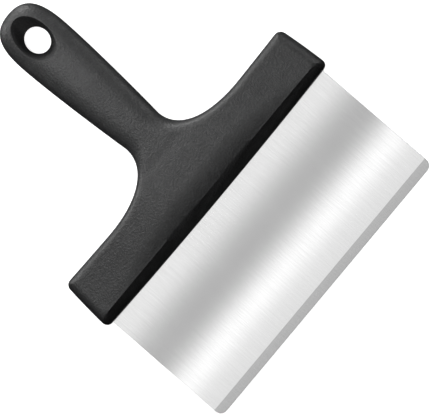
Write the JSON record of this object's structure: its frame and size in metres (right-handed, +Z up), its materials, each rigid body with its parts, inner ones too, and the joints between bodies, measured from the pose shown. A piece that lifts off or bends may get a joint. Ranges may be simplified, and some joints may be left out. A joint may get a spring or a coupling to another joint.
{
  "type": "bench scraper",
  "caption": "Wide straight-edged stainless scraper blade moulded into a black T-shaped polymer handle with a tapered grip, chamfered mouth and oval hanging hole.",
  "frame": {"origin": "bottom centre of the object as it lies on the flat back of its handle", "axes": "+X along the blade's edge, +Y from the blade's edge towards the hanging hole, +Z up out of the handle's crowned face; the blade's bevel is on the +Z side"},
  "size_m": [0.1668, 0.211, 0.0174],
  "materials": {
    "blade_steel": "brushed from handle to edge, with a finely ground bevel along the edge",
    "handle_polymer": "matt black, fine spark-eroded grain"
  },
  "bodies": {
    "root": {"blade": "blade_steel", "handle": "handle_polymer"}
  },
  "joints": []
}
